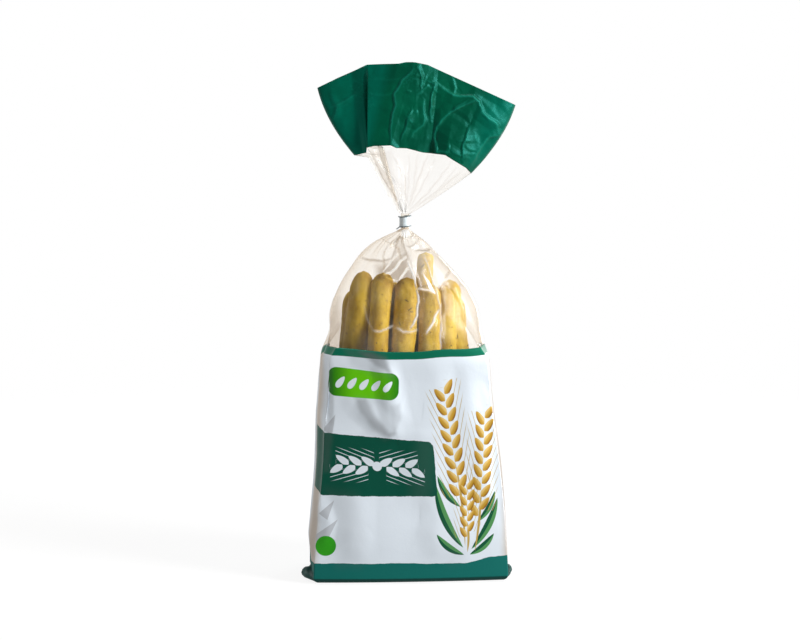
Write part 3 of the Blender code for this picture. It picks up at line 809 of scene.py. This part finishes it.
def clear_film(name, tint, edge_tint, cloudy):
    """Clear film that is a little milky, more so where it turns away, with painted highlights along creases
    and in bright patches, and painted brownish shade along dark creases and in shaded patches.
    """
    shader = Shader(name)
    facing = Field(shader.tree, shader.new("ShaderNodeLayerWeight").outputs["Facing"])
    light, dark = shader.creases().larger(0.0), (shader.creases() * -1.0).larger(0.0)
    shader.colour = shader.blend(tint, edge_tint, facing.power(2.0))
    # Painted brownish shade along dark creases and in shaded patches.
    shader.paint((0.46, 0.37, 0.28), dark * 0.55)
    through = shader.new("ShaderNodeBsdfTransparent")
    shader.fill(through.inputs["Color"], shader.colour)
    cloud = shader.grain(75.0, 3.0, 0.55, (1.0, 1.0, 0.6)).step(0.35, 0.75)
    # The milky veil also carries the painted highlights of creases and bright patches.
    milk = (cloud * cloudy + facing.power(3.0) * 0.10 + light * 0.80 + 0.006).smaller(0.92)
    shader.set(Base_Color=shader.blend((0.88, 0.83, 0.76), (0.97, 0.96, 0.94), light.step(0.15, 0.6)))
    shader.set(Roughness=0.30, Specular_IOR_Level=0.5)
    veil = shader.mixed(milk, through.outputs[0], shader.principled.outputs[0])
    gloss = shader.new("ShaderNodeBsdfGlossy")
    shader.fill(gloss.inputs["Roughness"], 0.13)
    shader.fill(gloss.inputs["Color"], (1.0, 1.0, 1.0))
    shader.fill(gloss.inputs["Normal"], shader.relief(shader.grain(260.0, 2.0), 0.0003, 0.30))
    surface = shader.mixed(facing.power(5.0) * 0.80 + 0.007, veil, gloss.outputs[0])
    shader.fill(shader.output.inputs["Surface"], surface)
    return shader.material


def crown_film():
    """Film printed dark green, with painted highlights along its creases, a lighter painted sheen on its
    outer parts, and fine crackle between the creases.
    """
    shader = Shader("film_crown")
    cloud = shader.grain(60.0, 4.0, 0.6)
    u, _ = shader.film()
    outer = u.step(-18.0, -26.0).larger(u.step(30.0, 44.0)) * cloud.step(0.30, 0.60, 0.5, 1.0)
    crackle = shader.grain(520.0, 4.0, 0.7).step(0.48, 0.70)
    patch = shader.grain(55.0, 2.0, 0.5, (1.0, 1.0, 0.8)).step(0.54, 0.70)
    shader.colour = shader.blend(GREEN, tuple(c * 1.45 for c in GREEN), cloud.step(0.4, 0.75))
    # Painted sheen: the left flap and the right part are painted a lighter green.
    shader.paint(FLAP_SHEEN_GREEN, outer)
    shader.paint(PALE_GREEN, crackle * patch * 0.34)
    # Painted highlights along the creases.
    shader.paint(PALE_GREEN, shader.creases() * 0.70)
    shader.set(Base_Color=shader.colour, Roughness=0.38, Specular_IOR_Level=0.30, Specular_Tint=FILM_SHEEN)
    fine = shader.relief(shader.grain(330.0, 5.0, 0.7), 0.0002, 0.28)
    shader.set(Normal=shader.relief(shader.grain(120.0, 2.0), 0.0010, 0.16, fine))
    return shader.material


# Print is laid out in mm on the flat film: u from the front's middle, v up. A mask is 1 inside its shape.
def inside(distance, soft=0.14):
    return distance.step(soft, -soft)


def turned(u, v, x, z, degrees):
    """Distances from (x, z), along and across a direction that many degrees to the left of upright."""
    du, dv = u - x, v - z
    c, s = math.cos(math.radians(degrees)), math.sin(math.radians(degrees))
    return dv * c - du * s, du * c + dv * s


def disc(u, v, x, z, radius):
    return inside(((u - x).power(2.0) + (v - z).power(2.0)).root() - radius)


def rounded_box(u, v, x, z, width, height, radius, degrees=0.0):
    up, over = turned(u, v, x, z, degrees)
    dx = (over.size() - (width / 2 - radius)).larger(0.0)
    dz = (up.size() - (height / 2 - radius)).larger(0.0)
    return inside((dx.power(2.0) + dz.power(2.0)).root() - radius)


def wedge(u, v, x, z, degrees, length, width):
    """A thin triangle with its point at (x, z)."""
    up, over = turned(u, v, x, z, degrees)
    return inside((over.size() - up * (width / length / 2)).larger(up - length))


def leaf(u, v, x, z, degrees, length, width, bend):
    """A leaf from its foot at (x, z): its mask, and a field that is 1 on its shaded half."""
    up, over = turned(u, v, x, z, degrees)
    share = up / length
    swell = (share * (share * -1.0 + 1.0) * 4.0).larger(0.0)
    over = over - swell * bend
    return inside(over.size() - (swell.power(0.8) * (width / 2) - 0.12), 0.10), over.step(0.05, -0.05)


def ear_of_wheat(u, v, x, z, degrees, scale, pairs):
    """An ear from its foot at (x, z): masks of grains and awns, and where on its grain a point lies."""
    pitch, spread = 5.6, math.radians(33.0)
    up, over = [far / scale for far in turned(u, v, x, z, degrees)]
    raised = up + over.below(0.0) * (pitch / 2)
    along = raised.wrap(pitch, 0.0) - pitch / 2
    out = over.size() - 2.05
    c, s = math.cos(spread), math.sin(spread)
    long, wide = along * c + out * s, out * c - along * s
    far = ((long / 3.25).power(2.0) + (wide / (long * -0.13 + 1.45)).power(2.0)).root()
    beyond = (raised * -1.0).larger(raised - pitch * pairs)
    grains = inside(far - 1.0, 0.05) * inside(beyond, 0.3)
    hair = (raised - out * 2.9).wrap(pitch / 2, -pitch / 2).size()
    awns = inside(hair - 0.40, 0.2) * inside(over.size() - 7.2, 0.8) * over.size().step(1.5, 3.0)
    awns = awns * inside((out * -1.6).larger(0.0) + beyond, 0.3)
    return grains, awns, wide / 2.9 + 0.5


def sheaf(shader, u, v):
    """Three golden ears on thin stems, with green leaves, up the right of the front."""
    for row in LEAVES:
        mask, shade = leaf(u, v, *row)
        shader.paint(shader.blend(LEAF_LIGHT, LEAF_DARK, shade), mask)
    for x, z, degrees, scale, pairs, stem in EARS:
        a = math.radians(degrees)
        stalk, _ = leaf(u, v, x + stem * math.sin(a), z - stem * math.cos(a), degrees, stem * 1.5, 1.6, 0.8)
        shader.paint(STRAW, stalk)
        grains, awns, place = ear_of_wheat(u, v, x, z, degrees, scale, pairs)
        shader.paint(STRAW, awns * 0.85)
        gold = shader.blend(GOLD_LIGHT, GOLD, place.step(0.10, 0.55))
        shader.paint(shader.blend(gold, GOLD_DARK, place.step(0.60, 1.0)), grains)


def title_panel(shader, u, v, ragged):
    """A dark green panel with ragged edges that runs round the left fold, with a pale ornament on it."""
    left = (u * -1.0 - 49.0).larger(0.0)
    height = v + u * 0.050 - left * 0.22 - TITLE_V
    half = (u + 16.0) * -0.035 + 16.2
    over = u + ragged * 0.35 + height * 0.055
    above, beyond = (height + ragged * 0.5).size() - half, over - 13.6
    corner = ((above + 3.0).larger(0.0).power(2.0) + (beyond + 3.0).larger(0.0).power(2.0)).root() - 3.0
    shader.paint(PANEL_GREEN, inside(corner) * u.step(-74.0, -73.5))
    mirrored = (u - ORNAMENT_U).size()
    grains, awns, _ = ear_of_wheat(mirrored, height, 5.0, 0.3, -90.0, 1.25, 3)
    shader.paint(WHITE, grains.larger(awns).larger(disc(mirrored, height, 0.0, 0.3, 2.6)) * 0.95)


def pill(shader, u, v):
    """A bright green pill with a painted metallic sheen, lighter in the middle and darker at its ends,
    and a row of pale grains.
    """
    shape = rounded_box(u, v, -25.0, PILL_V, 39.8, 15.0, 5.0, -3.0)
    sheen = u.step(-45.0, -29.0) * u.step(-3.0, -20.0)
    shader.paint(shader.blend(PILL_DARK, PILL_LIGHT, sheen), shape)
    for k in range(5):
        x = -37.6 + 6.6 * k
        up, over = turned(u, v, x, PILL_V - 0.05 * (x + 25.2), -40.0)
        seed = ((up / 3.6).power(2.0) + (over / (up * -0.14 + 1.6)).power(2.0)).root() - 1.0
        shader.paint(WHITE, inside(seed, 0.06))


def label_film():
    shader = Shader("film_label")
    u, v = shader.film()
    ragged = (shader.grain(150.0, 4.0, 0.65) - 0.5) * 3.2
    wavy = (shader.grain(34.0, 1.0) - 0.5) * 2.6
    uneven = shader.grain(28.0, 2.0).step(0.35, 0.75)
    shader.colour = shader.blend(WHITE, tuple(c * 0.93 for c in WHITE), uneven)
    # Painted reflection: the gussets next to the folds are painted warm beige.
    shader.paint(SIDE_REFLECTION_BEIGE, u.size().step(49.0, 56.0) * u.size().step(84.0, 78.0))
    for row in RAYS:
        shader.paint(GREY_PRINT, wedge(u, v, *row) * 0.7)
    sheaf(shader, u, v)
    title_panel(shader, u, v, ragged)
    pill(shader, u, v)
    shader.paint(DISC_GREEN, disc(u, v, *DISC))
    base = (v + ragged * 0.4 + wavy - u.step(30.0, 46.0) * u.step(110.0, 70.0) * 3.2).step(8.9, 8.6)
    shader.paint(BASE_GREEN, base)
    # Painted shadow: the film under the front's lower edge and the gussets' lowest few mm, with the ears, are
    # painted near black-green.
    gusset = u.size().step(55.0, 57.0) * u.size().step(84.0, 82.0)
    under = v.step(0.4, -0.3).larger(gusset * v.step(4.0, 2.6))
    shader.paint(PAINTED_SHADOW_GREEN, under * 0.9)
    shader.paint(BAND_GREEN, v.step(LABEL_TOP / MM - 4.2, LABEL_TOP / MM - 4.0))
    shader.paint(SHADE_GREY, (shader.creases() * -1.0).larger(0.0))
    matt = base.larger(under)
    shader.set(Roughness=matt.step(0.0, 1.0, 0.33, 0.55), Metallic=matt.step(0.0, 1.0, 0.42, 0.12))
    shader.set(Base_Color=shader.colour, Specular_IOR_Level=0.2)
    shader.set(Normal=shader.relief(shader.grain(700.0, 2.0), 0.0002, 0.2))
    return shader.material


def stick_crust():
    """Golden crust, mottled light and toasted, and a little rough."""
    shader = Shader("stick_crust")
    fine = shader.grain(420.0, 4.0, 0.65)
    toasted = shader.grain(90.0, 4.0, 0.6, (1.0, 1.0, 0.45)).step(0.40, 0.66)
    shader.colour = shader.blend((0.68, 0.475, 0.040), (0.47, 0.285, 0.012), toasted)
    shader.paint((0.80, 0.63, 0.17), fine.step(0.54, 0.76) * 0.40)
    shader.paint((0.26, 0.145, 0.016), fine.step(0.42, 0.28) * 0.8)
    shader.paint((0.94, 0.82, 0.42), shader.grain(1500.0, 1.0).step(0.70, 0.76) * 0.5)
    shader.set(Base_Color=shader.colour, Roughness=0.62, Specular_IOR_Level=0.35)
    bumps = shader.relief(shader.grain(230.0, 5.0, 0.6), 0.0008, 0.6)
    shader.set(Normal=shader.relief(shader.grain(900.0, 3.0), 0.0003, 0.4, bumps))
    return shader.material


def mottled(name, first, last, scale, low, high, **settings):
    """Two colours mixed by noise."""
    shader = Shader(name)
    shader.set(Base_Color=shader.blend(first, last, shader.grain(scale).step(low, high)), **settings)
    return shader


def herb():
    shader = mottled("herb", (0.035, 0.045, 0.012), (0.10, 0.075, 0.022), 300.0, 0.4, 0.6, Roughness=0.8)
    return shader.material


def tie_plastic():
    shader = mottled("tie_plastic", (0.74, 0.84, 0.87), (0.84, 0.92, 0.94), 500.0, 0.3, 0.7)
    shader.set(Roughness=0.38, Specular_IOR_Level=0.5)
    shader.set(Normal=shader.relief(shader.grain(1500.0), 0.0002, 0.3))
    return shader.material


def tie_wire():
    shader = mottled("tie_wire", (0.10, 0.13, 0.14), (0.18, 0.22, 0.23), 800.0, 0.3, 0.7)
    shader.set(Roughness=0.42, Metallic=0.3)
    return shader.material


# --- sticks -------------------------------------------------------------------------------------------
# Foot x and y, head x and y, height, radius, in mm, and the length of the head's rounding, in radii.
# The heads lean together under the gathered film.
STICKS = (
    (-43, -9, -23.5, -8, 168.5, 6.7, 1.5), (-24, -18, -13.5, -18, 168, 6.3, 1.3),
    (-8, -18, -1.5, -18, 165.5, 6.3, 1.4), (8, -18, 11.5, -18, 162, 6.1, 1.3),
    (24, -17, 21.5, -16, 161, 5.4, 1.2), (41, -12, 24.5, -5, 163.5, 5.6, 1.3),
    (-35, -1, -29, 0, 158, 6.4, 1.4), (-15, -2, -6, -3, 162, 6.6, 1.3), (5, -1, 10.7, -4, 178.6, 4.9, 0.7),
    (20, -1, 16, 3, 158, 6.2, 1.5), (39, 1, 27, 4, 154, 6.2, 1.3),
    (-38, 14, -25, 13, 160, 6.6, 1.3), (-20, 16, -12, 13, 163, 6.4, 1.5), (-2, 16, 2, 13, 157, 6.4, 1.2),
    (16, 16, 14, 12, 160, 6.2, 1.4), (36, 13, 26, 10, 156, 6.3, 1.3),
)
STICK_RINGS, STICK_SIDES = 96, 36
STICK_FOOT = 1.5          # mm over the front's lower edge
STICK_GAP = 1.9           # mm, between a stick and the film's smooth outline
FLECKS_A_STICK = 24


def film_depth(x, z):
    """How far in front of the bag's middle the film's smooth outline is, at each point (x, z)."""
    turn = np.linspace(0.5, 1.0, 181)
    points = [body_points(turn, np.full(1, height)) for height in z]
    return np.array([np.interp(a, row[:, 0], -row[:, 1], left=0.0, right=0.0) for a, row in zip(x, points)])


def stick_rings(index, foot_x, foot_y, head_x, head_y, height, radius, rounding):
    """Points of one stick, ring by ring from its foot to its head, held inside the film."""
    rng = np.random.default_rng(100 + index)
    phase = rng.uniform(0, 2 * math.pi, 8)
    bend = rng.uniform(0.4, 1.1, 2) * MM
    t = 0.5 - 0.5 * np.cos(np.linspace(0.0, math.pi, STICK_RINGS))
    t = lerp(t, np.linspace(0.0, 1.0, STICK_RINGS), 0.72)
    length = (height - STICK_FOOT) * MM
    x = lerp(foot_x, head_x, t) * MM + bend[0] * np.sin(2 * math.pi * t * 1.1 + phase[0])
    y = lerp(foot_y, head_y, t) * MM + bend[1] * np.sin(2 * math.pi * t * 0.9 + phase[1])
    z = STICK_FOOT * MM + t * length
    r = radius * MM * (1.0 + 0.045 * np.sin(9.0 * t + phase[2]) + 0.03 * np.sin(23.0 * t + phase[3]))
    room = np.maximum(film_depth(x, z) - radius * 1.05 * MM - STICK_GAP * MM, 0.0)
    y = np.clip(y, -room, room)
    for end, head in ((t * length, 0.9), ((1.0 - t) * length, rounding)):
        head *= radius * MM
        r = r * np.clip(1.0 - np.clip(1.0 - end / head, 0.0, 1.0) ** 2.1, 0.0, 1.0) ** 0.5
    angle = np.linspace(0.0, 2 * math.pi, STICK_SIDES, endpoint=False)
    oval = 1.0 + 0.05 * np.cos(2 * angle[None, :] + phase[4] + 2.0 * t[:, None])
    lumps = np.empty((STICK_RINGS, STICK_SIDES))
    for i in range(STICK_RINGS):
        for j in range(STICK_SIDES):
            spot = Vector((math.cos(angle[j]) * 1.6, math.sin(angle[j]) * 1.6, t[i] * 26.0))
            spot += Vector((index * 7.3, 0, 0))      # each stick has its own part of the noise
            lumps[i, j] = noise.noise(spot) + 0.5 * noise.noise(spot * 2.7) + 0.25 * noise.noise(spot * 5.9)
    reach = (r[:, None] * oval) * (1.0 + 0.045 * lumps)
    x, y, z = x[:, None], y[:, None], z[:, None]
    return np.stack([x + reach * np.cos(angle), y + reach * np.sin(angle), z + 0.0 * reach], axis=-1)


def joined(name, parts):
    """One mesh from (points, faces) pairs."""
    points, faces, count = [], [], 0
    for part_points, part_faces in parts:
        points.append(part_points)
        faces += [[i + count for i in face] for face in part_faces]
        count += len(part_points)
    mesh = bpy.data.meshes.new(name)
    mesh.from_pydata(np.concatenate(points).tolist(), [], faces)
    mesh.update()
    mesh.shade_smooth()
    return mesh


def tube_faces(rings, sides):
    faces = []
    for i in range(rings - 1):
        for j in range(sides):
            k = (j + 1) % sides
            faces.append([i * sides + j, i * sides + k, (i + 1) * sides + k, (i + 1) * sides + j])
    faces.append(list(range(sides))[::-1])
    faces.append([(rings - 1) * sides + j for j in range(sides)])
    return faces


def sticks():
    faces = tube_faces(STICK_RINGS, STICK_SIDES)
    rings = [stick_rings(index, *row) for index, row in enumerate(STICKS)]
    return joined("breadsticks", [(grid.reshape(-1, 3), faces) for grid in rings])


def flecks():
    """Needles and specks of herb pressed into the crust."""
    rng = np.random.default_rng(7)
    parts = []
    sides, rings = 6, 5
    faces = tube_faces(rings, sides)
    for index, row in enumerate(STICKS):
        grid = stick_rings(index, *row)
        centre = grid.mean(axis=1)
        for _ in range(FLECKS_A_STICK):
            i, j = rng.integers(6, STICK_RINGS - 5), rng.integers(STICK_SIDES)
            spot = Vector(grid[i, j])
            out = (spot - Vector(centre[i])).normalized()
            side = out.cross(Vector((0, 0, 1))).normalized()
            turn = rng.uniform(0, math.pi)
            along = (side * math.cos(turn) + Vector((0, 0, 1)) * math.sin(turn)).normalized()
            cross = out.cross(along)
            needle = rng.random() < 0.4
            length, width = (rng.uniform(1.0, 2.2), 0.22) if needle else (rng.uniform(0.25, 0.5), 0.3)
            points = []
            for a in np.linspace(-1.0, 1.0, rings):
                r = width * MM * math.sqrt(max(0.04, 1.0 - a * a))
                middle = spot + along * a * length * MM
                for k in range(sides):
                    b = 2 * math.pi * k / sides
                    points.append(middle + cross * r * math.cos(b) + out * r * 0.8 * math.sin(b))
            parts.append((np.array([tuple(p) for p in points]), faces))
    return joined("herb_flecks", parts)


# --- the tie ------------------------------------------------------------------------------------------
def tube(path, radius, sides=8):
    """A round wire along a path of points."""
    rings = []
    for i, point in enumerate(path):
        ahead = path[min(i + 1, len(path) - 1)] - path[max(i - 1, 0)]
        ahead.normalize()
        side = ahead.cross(Vector((0, 0, 1))).normalized()
        up = side.cross(ahead)
        for k in range(sides):
            a = 2 * math.pi * k / sides
            rings.append(point + side * radius * math.cos(a) + up * radius * math.sin(a))
    return np.array([tuple(p) for p in rings]), tube_faces(len(path), sides)


TIE_CENTRE = Vector((NECK_X, 0.0, NECK_Z + NECK_HEIGHT / 2))
TIE_WIDTH, TIE_THICKNESS, TIE_RADIUS = 5.6, 0.35, 2.62      # mm
WIRE_RADIUS, WIRE_TURN_RADIUS = 0.28, 3.2                   # mm
TIE_SLANT = 0.35          # mm, the tie is this much higher on the right and lower on the left


def round_neck(degrees, radius, height):
    """A point of the tie, from its distance to the neck's axis and its height over the middle, in mm."""
    c, s = math.cos(math.radians(degrees)), math.sin(math.radians(degrees))
    return TIE_CENTRE + Vector((radius * c, radius * s, height + TIE_SLANT * c)) * MM


def tie_band():
    """A flat strip once and a bit round the neck."""
    count, rows = 60, 9
    points = []
    for i in range(count):
        t = i / (count - 1)
        for layer, step in ((0.0, 1), (TIE_THICKNESS, -1)):
            for k in range(rows)[::step]:
                h = k / (rows - 1) - 0.5
                radius = TIE_RADIUS + layer + 0.45 * t - 0.10 * math.cos(h * math.pi)
                points.append(round_neck(100 + 415 * t, radius, h * TIE_WIDTH + 0.15 * t))
    return joined("tie_band", [(np.array(points), tube_faces(count, 2 * rows))])


def tie_wires():
    """A wire along each edge of the strip. The free ends stand off, and more so those of the lower wire."""
    parts = []
    for edge, off, drop in ((-0.5, 1.6, 1.1), (0.5, 0.5, -0.2)):
        path = []
        for i in range(64):
            t = i / 63
            free = max(0.0, abs(t - 0.5) * 2 - 0.86) / 0.14
            height = edge * (TIE_WIDTH - 0.1) - drop * free
            path.append(round_neck(150 + 400 * t, WIRE_TURN_RADIUS + off * free ** 1.5, height))
        parts.append(tube(path, WIRE_RADIUS * MM))
    return joined("tie_wires", parts)


# --- the object ---------------------------------------------------------------------------------------
def print_height(grid):
    """Height on the flat label: its top edge is level there, though it dips and drops on the bag."""
    top = label_top()[None, :]
    return grid[..., 2] + (LABEL_TOP - top) * smooth(0.70, 1.0, grid[..., 2] / top)


def film_piece(name, grid, material, creases=(), back_creases=(), patches=(), up=None):
    # Painted highlights and painted shade of the creases and patches, kept on the film's points.
    lines = crease_highlight_and_shade(grid, creases) + crease_highlight_and_shade(grid, back_creases, front=False)
    white = np.where(np.abs(lines) > 0.25, 0.35, 1.0) * patched(grid, patches) + lines
    piece = add(name, film_mesh(name, grid, grid[..., 2] if up is None else up, white), material)
    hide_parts("bag")


def build():
    clear = clear_film("film_clear", (0.990, 0.978, 0.960), (0.90, 0.84, 0.765), 0.034)
    clearest = clear_film("film_clear_fan", (0.998, 0.994, 0.988), (0.955, 0.935, 0.90), 0.012)
    label = label_grid()
    film_piece("bag_label", label, label_film(), patches=LABEL_PATCHES, up=print_height(label))
    film_piece("bag_dome", dome_grid(), clear, DOME_CREASES, BACK_DOME_CREASES, DOME_PATCHES)
    film_piece("bag_fan", fan_grid(), clearest, FAN_CREASES, patches=FAN_PATCHES)
    film_piece("bag_crown", crown_grid(), crown_film(), CROWN_CREASES, BACK_CROWN_CREASES)
    add("breadsticks", sticks(), stick_crust())
    add("herb_flecks", flecks(), herb())
    band = add("tie_band", tie_band(), tie_plastic())
    wires = add("tie_wires", tie_wires(), tie_wire())
    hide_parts("tie")
    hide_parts("tie")


# --- studio -------------------------------------------------------------------------------------------
LIGHT_TARGET = Vector((0, 0, 0.15))


def area_light(name, place, size, power, colour=(1.0, 1.0, 1.0)):
    light = bpy.data.lights.new(name, "AREA")
    light.shape = "RECTANGLE"
    light.size, light.size_y = size
    light.energy = power
    light.color = colour
    obj = bpy.data.objects.new(name, light)
    obj.location = place
    obj.rotation_euler = (LIGHT_TARGET - Vector(place)).to_track_quat("-Z", "Y").to_euler()
    bpy.context.scene.collection.objects.link(obj)


FLOOR_DROP = 0.0001                       # m under the base, so that the two aren't in one plane
FLOOR_SHOWN, FLOOR_CAST = 0.88, 0.42      # the floor's own light, to the camera and to the bag
FILM_LAYERS = 48                          # as many faces of clear film as a ray may have to pass
WORLD_DIFFUSE = 0.17                      # the surround's strength as fill light
WORLD_FRONT, WORLD_BACK = 0.58, 0.95      # and as seen in reflections, in front of the bag and behind it


def strength_by_ray(nodes, links, choices, last):
    """A number that depends on the kind of light ray. choices are pairs of an output of Light Path and a
    number: the last one that holds for the ray counts, and where none does, it is last."""
    ray = nodes.new("ShaderNodeLightPath")
    strength = last
    for seen_by, value in choices:
        mix = nodes.new("ShaderNodeMix")
        mix.data_type = "FLOAT"
        links.new(ray.outputs[seen_by], mix.inputs[0])
        if isinstance(strength, float):
            mix.inputs[2].default_value = strength
        else:
            links.new(strength, mix.inputs[2])
        mix.inputs[3].default_value = value
        strength = mix.outputs[0]
    return strength


def floor_paint():
    """White paint that fades out into the white surround, so that no horizon shows."""
    shader = Shader("floor")
    shader.set(Base_Color=(0.16, 0.16, 0.16), Roughness=0.9, Specular_IOR_Level=0.0)
    glow = strength_by_ray(shader.nodes, shader.links, (("Is Camera Ray", FLOOR_SHOWN),), FLOOR_CAST)
    shader.set(Emission_Color=(1.0, 1.0, 1.0), Emission_Strength=glow)
    split = shader.new("ShaderNodeSeparateXYZ")
    shader.links.new(shader.place(), split.inputs[0])
    x, y = Field(shader.tree, split.outputs["X"]), Field(shader.tree, split.outputs["Y"])
    far = (x.power(2.0) + y.power(2.0)).root()
    shader.set(Alpha=far.step(0.25, 0.75, 1.0, 0.0))
    return shader.material


def studio():
    scene = bpy.context.scene
    scene.view_settings.view_transform = "Standard"
    scene.cycles.transparent_max_bounces = FILM_LAYERS
    floor_mesh = bpy.data.meshes.new("floor")
    floor_mesh.from_pydata([(-4, -4, 0), (4, -4, 0), (4, 4, 0), (-4, 4, 0)], [], [(0, 1, 2, 3)])
    floor = bpy.data.objects.new("floor", floor_mesh)
    floor.location.z = -FLOOR_DROP
    scene.collection.objects.link(floor)
    floor_mesh.materials.append(floor_paint())
    world = bpy.data.worlds.new("studio")
    scene.world = world
    world.use_nodes = True
    nodes, links = world.node_tree.nodes, world.node_tree.links
    background = nodes["Background"]
    background.inputs["Color"].default_value = (1.0, 1.0, 1.0, 1.0)
    direction = nodes.new("ShaderNodeSeparateXYZ")
    links.new(nodes.new("ShaderNodeTexCoord").outputs["Generated"], direction.inputs[0])
    seen = Field(world.node_tree, direction.outputs["Y"]).step(-0.95, 0.15, WORLD_FRONT, WORLD_BACK).socket
    kinds = (("Is Diffuse Ray", WORLD_DIFFUSE), ("Is Camera Ray", 1.0))
    strength = strength_by_ray(nodes, links, kinds, seen)
    links.new(strength, background.inputs["Strength"])
    area_light("key", (1.0, -0.62, 0.58), (0.36, 1.1), 24.0)
    area_light("left_strip", (-1.0, -0.30, 0.45), (0.10, 0.9), 0.8, (1.0, 0.86, 0.72))
    area_light("top", (0.1, 0.2, 1.1), (0.5, 0.4), 3.0)
    area_light("back_right", (0.6, 0.9, 0.5), (0.1, 0.8), 2.0)


CAMERA_TARGET = Vector((-0.0036, 0.0, 0.1405 + FOOT_LIFT))
CAMERA_DISTANCE, CAMERA_LENS = 1.238, 100.0      # m, and mm on a film 36 mm wide
CAMERA_AZIMUTH = math.radians(-4.0)
CAMERA_ELEVATION = math.radians(7.0)


def camera():
    data = bpy.data.cameras.new("camera")
    data.lens, data.sensor_width = CAMERA_LENS, 36.0
    obj = bpy.data.objects.new("camera", data)
    away = Vector((
        math.sin(CAMERA_AZIMUTH) * math.cos(CAMERA_ELEVATION),
        -math.cos(CAMERA_AZIMUTH) * math.cos(CAMERA_ELEVATION),
        math.sin(CAMERA_ELEVATION),
    ))
    obj.location = CAMERA_TARGET + away * CAMERA_DISTANCE
    obj.rotation_euler = (-away).to_track_quat("-Z", "Y").to_euler()
    bpy.context.scene.collection.objects.link(obj)
    bpy.context.scene.camera = obj


build()
studio()
camera()
